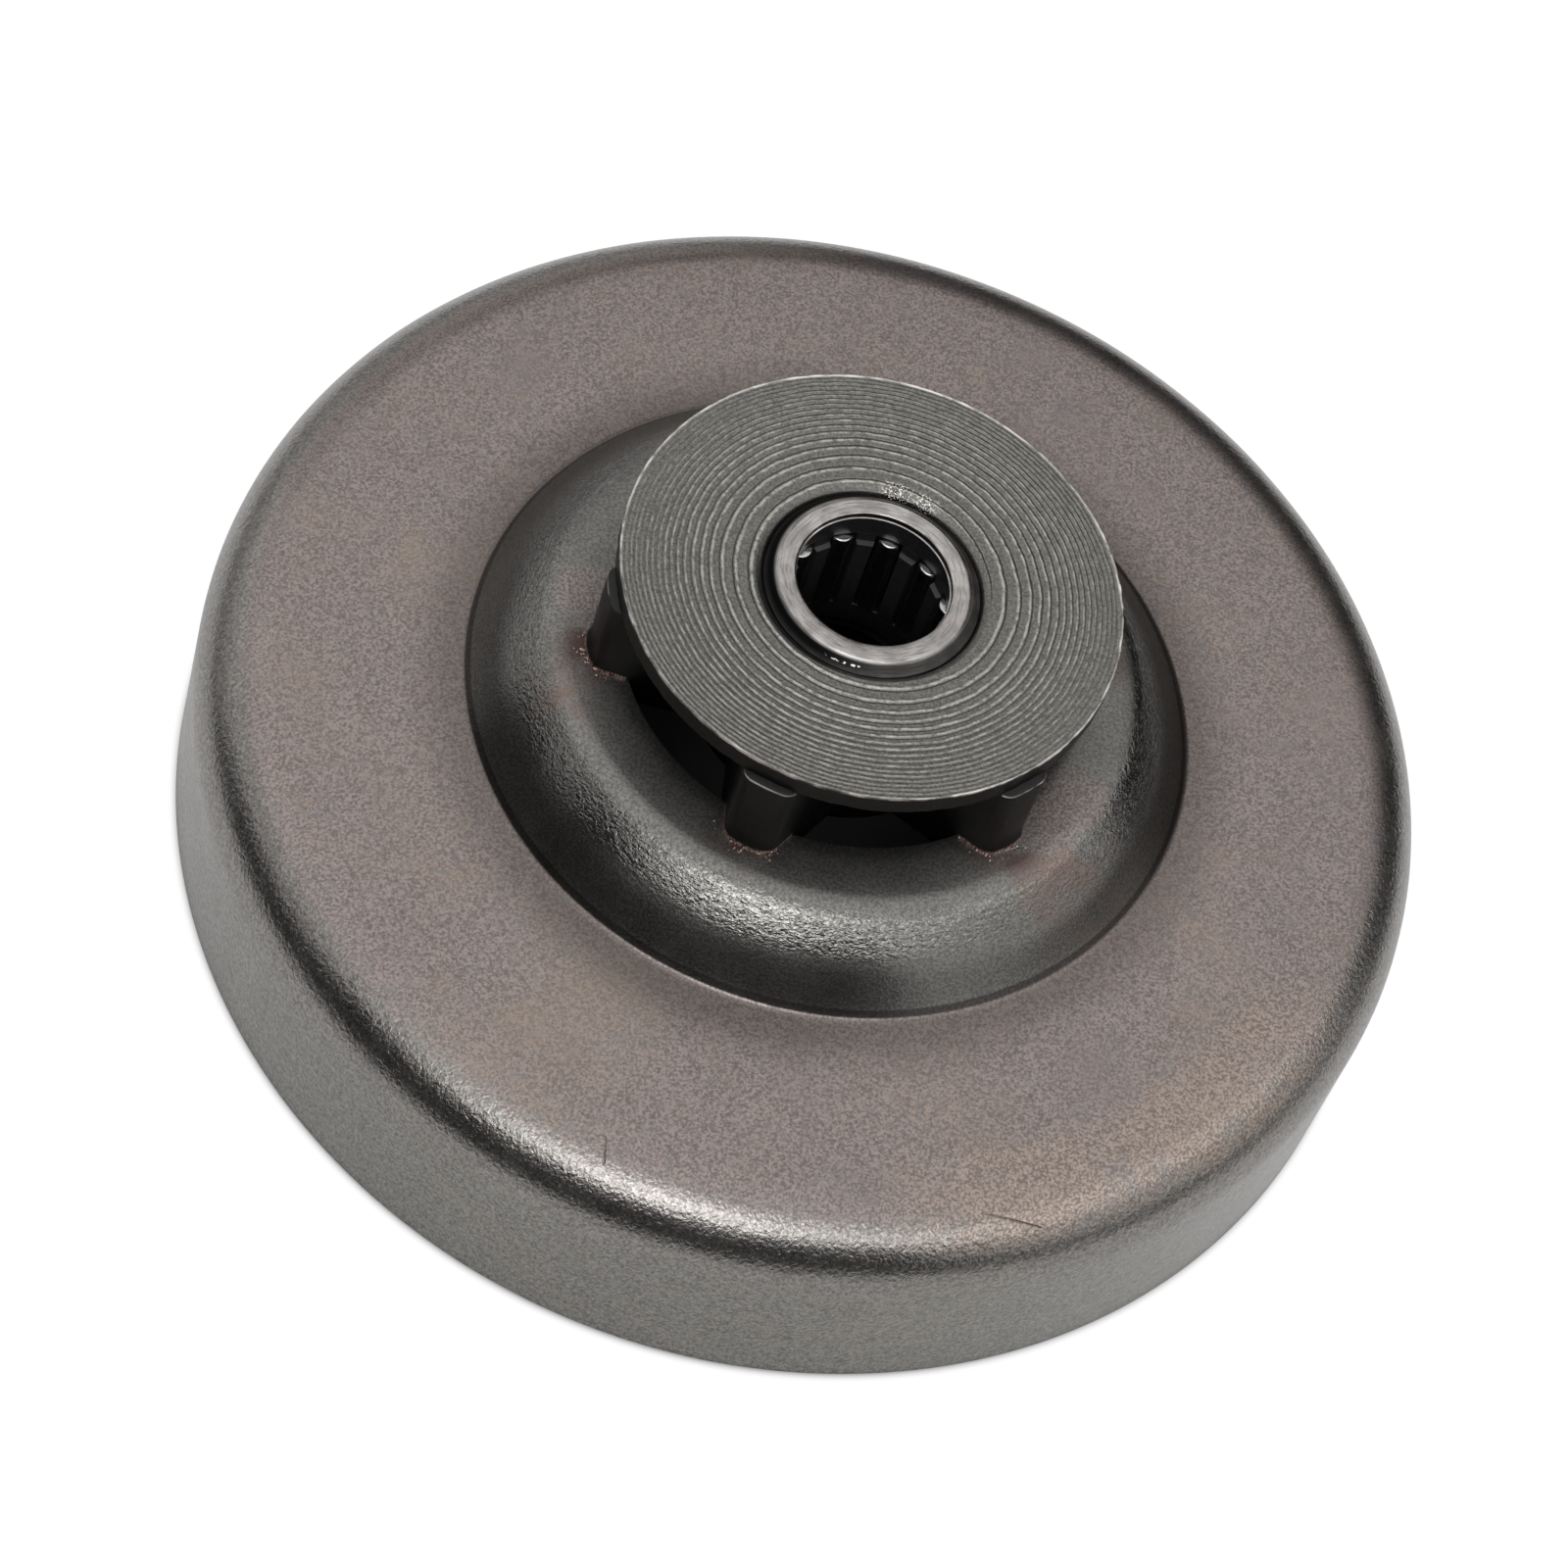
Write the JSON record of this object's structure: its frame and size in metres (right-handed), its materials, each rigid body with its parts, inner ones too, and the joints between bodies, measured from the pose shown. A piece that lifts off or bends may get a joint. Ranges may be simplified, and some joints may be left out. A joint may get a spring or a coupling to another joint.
{
  "type": "clutch drum with spur sprocket",
  "caption": "Chainsaw clutch drum: a pressed steel cup with a brazed toothed chain sprocket under a turned flange, and a drawn-cup needle bearing in its hub.",
  "frame": {"origin": "centre of the open rim, on the plane the drum stands on", "axes": "+Z along the crankshaft axis from the open rim to the sprocket; +X through a sprocket tooth"},
  "size_m": [0.076, 0.076, 0.0279],
  "materials": {
    "phosphated_steel": "brown-grey phosphate, fine grain",
    "sintered_steel": "sintered, face turned in a spiral",
    "bearing_steel": "drawn and ground",
    "black_cage": "black moulded",
    "needle_steel": "ground, oiled"
  },
  "bodies": {
    "drum": {"clutch_drum": "phosphated_steel", "sprocket": "sintered_steel", "bearing_shell": "bearing_steel"},
    "cage": {"needle_cage": "black_cage"},
    "needle_01": {"needle_01": "needle_steel"},
    "needle_02": {"needle_02": "needle_steel"},
    "needle_03": {"needle_03": "needle_steel"},
    "needle_04": {"needle_04": "needle_steel"},
    "needle_05": {"needle_05": "needle_steel"},
    "needle_06": {"needle_06": "needle_steel"},
    "needle_07": {"needle_07": "needle_steel"},
    "needle_08": {"needle_08": "needle_steel"},
    "needle_09": {"needle_09": "needle_steel"},
    "needle_10": {"needle_10": "needle_steel"},
    "needle_11": {"needle_11": "needle_steel"}
  },
  "joints": [
    {"name": "cage_spin", "type": "hinge", "parent": "drum", "child": "cage", "pos_m": [0, 0, 0.02188], "axis": [0, 0, 1], "continuous": true},
    {"name": "needle_01_roll", "type": "hinge", "parent": "cage", "child": "needle_01", "pos_m": [0.00222, 0.00476, 0.02188], "axis": [0, 0, 1], "continuous": true},
    {"name": "needle_02_roll", "type": "hinge", "parent": "cage", "child": "needle_02", "pos_m": [-0.00071, 0.0052, 0.02188], "axis": [0, 0, 1], "continuous": true},
    {"name": "needle_03_roll", "type": "hinge", "parent": "cage", "child": "needle_03", "pos_m": [-0.00341, 0.004, 0.02188], "axis": [0, 0, 1], "continuous": true},
    {"name": "needle_04_roll", "type": "hinge", "parent": "cage", "child": "needle_04", "pos_m": [-0.00502, 0.00152, 0.02188], "axis": [0, 0, 1], "continuous": true},
    {"name": "needle_05_roll", "type": "hinge", "parent": "cage", "child": "needle_05", "pos_m": [-0.00505, -0.00144, 0.02188], "axis": [0, 0, 1], "continuous": true},
    {"name": "needle_06_roll", "type": "hinge", "parent": "cage", "child": "needle_06", "pos_m": [-0.00347, -0.00394, 0.02188], "axis": [0, 0, 1], "continuous": true},
    {"name": "needle_07_roll", "type": "hinge", "parent": "cage", "child": "needle_07", "pos_m": [-0.00079, -0.00519, 0.02188], "axis": [0, 0, 1], "continuous": true},
    {"name": "needle_08_roll", "type": "hinge", "parent": "cage", "child": "needle_08", "pos_m": [0.00214, -0.00479, 0.02188], "axis": [0, 0, 1], "continuous": true},
    {"name": "needle_09_roll", "type": "hinge", "parent": "cage", "child": "needle_09", "pos_m": [0.00439, -0.00287, 0.02188], "axis": [0, 0, 1], "continuous": true},
    {"name": "needle_10_roll", "type": "hinge", "parent": "cage", "child": "needle_10", "pos_m": [0.00525, -0.00004, 0.02188], "axis": [0, 0, 1], "continuous": true},
    {"name": "needle_11_roll", "type": "hinge", "parent": "cage", "child": "needle_11", "pos_m": [0.00444, 0.0028, 0.02188], "axis": [0, 0, 1], "continuous": true}
  ],
  "couplings": [
    {"joint": "needle_01_roll", "follows": "cage_spin", "ratio": -8},
    {"joint": "needle_02_roll", "follows": "cage_spin", "ratio": -8},
    {"joint": "needle_03_roll", "follows": "cage_spin", "ratio": -8},
    {"joint": "needle_04_roll", "follows": "cage_spin", "ratio": -8},
    {"joint": "needle_05_roll", "follows": "cage_spin", "ratio": -8},
    {"joint": "needle_06_roll", "follows": "cage_spin", "ratio": -8},
    {"joint": "needle_07_roll", "follows": "cage_spin", "ratio": -8},
    {"joint": "needle_08_roll", "follows": "cage_spin", "ratio": -8},
    {"joint": "needle_09_roll", "follows": "cage_spin", "ratio": -8},
    {"joint": "needle_10_roll", "follows": "cage_spin", "ratio": -8},
    {"joint": "needle_11_roll", "follows": "cage_spin", "ratio": -8}
  ]
}
